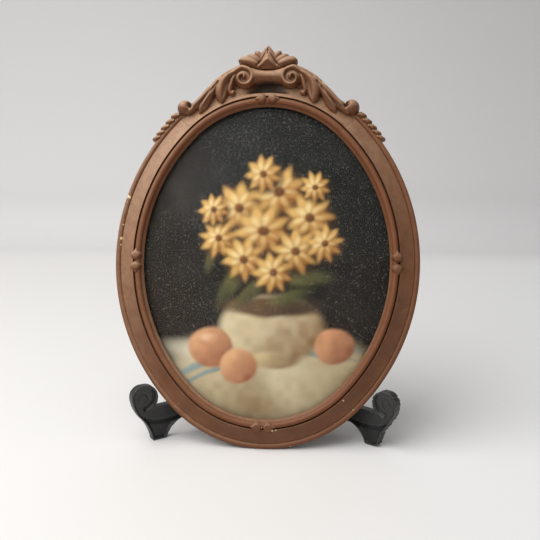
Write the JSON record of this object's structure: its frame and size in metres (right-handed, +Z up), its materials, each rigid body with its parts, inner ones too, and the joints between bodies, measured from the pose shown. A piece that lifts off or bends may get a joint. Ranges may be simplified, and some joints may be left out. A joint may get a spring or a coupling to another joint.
{
  "type": "oval picture frame",
  "caption": "Oval picture frame with carved scroll crest, bead sprigs, domed glass and print, on a folding V-shaped display stand.",
  "frame": {"origin": "bottom centre of the bounding box, on the surface the stand rests on", "axes": "+Z up, front towards -Y; the frame leans back towards +Y by 14.5 degrees"},
  "size_m": [0.2372, 0.088, 0.3038],
  "materials": {
    "frame_paint": "bronze-brown finish with gold rubbing and small chips",
    "tongue_wood": "raw",
    "clear_glass": "polished",
    "printed_card": "printed still life of flowers and a bowl, satin",
    "board_wood": "hardboard",
    "button_metal": "tarnished",
    "screw_steel": "dull",
    "hanger_metal": "tarnished",
    "stand_plastic": "black, moulded, slightly glossy",
    "pin_steel": "dull"
  },
  "bodies": {
    "stand_left": {"stand_left": "stand_plastic", "hinge_pin": "pin_steel"},
    "stand_right": {"stand_right": "stand_plastic"},
    "frame": {"rail_top": "frame_paint", "rail_right": "frame_paint", "rail_bottom": "frame_paint", "rail_left": "frame_paint", "crest_ground": "frame_paint", "crest_scroll_left": "frame_paint", "crest_scroll_right": "frame_paint", "crest_bolster": "frame_paint", "crest_palmette": "frame_paint", "bead_sprig_left": "frame_paint", "bead_sprig_right": "frame_paint", "knot_top": "frame_paint", "knot_right": "frame_paint", "knot_bottom": "frame_paint", "knot_left": "frame_paint", "joint_tongues": "tongue_wood", "glass": "clear_glass", "print_card": "printed_card", "backing_board": "board_wood", "turn_button_screws": "screw_steel", "hanger_strap": "hanger_metal", "hanger_screws": "screw_steel"},
    "turn_button_1": {"turn_button_1": "button_metal"},
    "turn_button_2": {"turn_button_2": "button_metal"},
    "turn_button_3": {"turn_button_3": "button_metal"},
    "turn_button_4": {"turn_button_4": "button_metal"},
    "hanger_ring": {"hanger_ring": "hanger_metal"}
  },
  "joints": [
    {"name": "stand_fold", "type": "hinge", "parent": "stand_left", "child": "stand_right", "pos_m": [0, 0.03401, 0.055], "axis": [0, 0, 1], "range_deg": [0, 30]},
    {"name": "frame_lift", "type": "slide", "parent": "stand_left", "child": "frame", "axis": [0, 0.2504, 0.9681], "range_m": [0, 0.16]},
    {"name": "turn_button_1_swivel", "type": "hinge", "parent": "frame", "child": "turn_button_1", "pos_m": [0.09911, 0.01899, 0.18725], "axis": [0, -0.9681, 0.2504], "range_deg": [0, 90]},
    {"name": "turn_button_2_swivel", "type": "hinge", "parent": "frame", "child": "turn_button_2", "pos_m": [0.09911, -0.00698, 0.08685], "axis": [0, -0.9681, 0.2504], "range_deg": [0, 90]},
    {"name": "turn_button_3_swivel", "type": "hinge", "parent": "frame", "child": "turn_button_3", "pos_m": [-0.09911, 0.01899, 0.18725], "axis": [0, -0.9681, 0.2504], "range_deg": [0, 90]},
    {"name": "turn_button_4_swivel", "type": "hinge", "parent": "frame", "child": "turn_button_4", "pos_m": [-0.09911, -0.00698, 0.08685], "axis": [0, -0.9681, 0.2504], "range_deg": [0, 90]},
    {"name": "hanger_ring_swing", "type": "hinge", "parent": "frame", "child": "hanger_ring", "pos_m": [0, 0.03886, 0.25777], "axis": [1, 0, 0], "range_deg": [-12, 150]}
  ]
}
